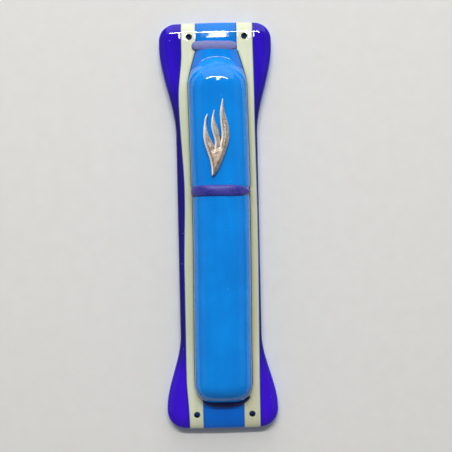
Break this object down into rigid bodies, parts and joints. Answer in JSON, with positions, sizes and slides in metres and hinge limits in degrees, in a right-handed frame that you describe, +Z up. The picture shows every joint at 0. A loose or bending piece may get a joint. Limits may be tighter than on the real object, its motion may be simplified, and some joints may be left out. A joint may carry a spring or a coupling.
{
  "type": "mezuzah case",
  "caption": "Wall-mounted mezuzah case in kiln-fused blue, cobalt and cream glass, with a metal flame and a rolled parchment behind a removable back cover.",
  "frame": {"origin": "middle of the case's back, in the plane that lies against the doorpost", "axes": "+Z up along the case's length, +X to the right as seen from the front, +Y out of the back into the doorpost"},
  "size_m": [0.0494, 0.0186, 0.1778],
  "materials": {
    "cobalt_glass": "kiln-fused opaque cobalt glass, fire-polished",
    "cream_glass": "kiln-fused opaque cream glass, fire-polished",
    "blue_glass": "kiln-fused opaque sky-blue glass, fire-polished",
    "band_glass": "textured cobalt glass with a fine metallic sparkle",
    "pewter": "cast antique-silver pewter with polished edges and fine pits",
    "glue": "cured clear adhesive",
    "acrylic": "satin white acrylic",
    "tape": "double-sided foam tape",
    "parchment": "rolled parchment",
    "film": "clear polyester film"
  },
  "bodies": {
    "case": {"base_left_sheet": "blue_glass", "base_right_sheet": "blue_glass", "base_top_sheet": "blue_glass", "base_bottom_sheet": "blue_glass", "left_cobalt_strip": "cobalt_glass", "left_cream_strip": "cream_glass", "right_cream_strip": "cream_glass", "right_cobalt_strip": "cobalt_glass", "top_blue_strip": "blue_glass", "bottom_blue_strip": "blue_glass", "upper_hood": "blue_glass", "lower_hood": "blue_glass", "top_band": "band_glass", "middle_band": "band_glass", "bottom_band": "band_glass", "flame_ornament": "pewter", "flame_glue_bed": "glue"},
    "back_cover": {"back_cover": "acrylic", "cover_tape_top": "tape", "cover_tape_bottom": "tape"},
    "scroll": {"parchment_scroll": "parchment", "scroll_sleeve": "film"}
  },
  "joints": [
    {"name": "cover_lift", "type": "slide", "parent": "case", "child": "back_cover", "axis": [0, 1, 0], "range_m": [0, 0.06]},
    {"name": "scroll_lift", "type": "slide", "parent": "case", "child": "scroll", "axis": [0, 1, 0], "range_m": [0, 0.03]}
  ],
  "couplings": [
    {"joint": "scroll_lift", "follows": "cover_lift", "ratio": 0.5}
  ]
}
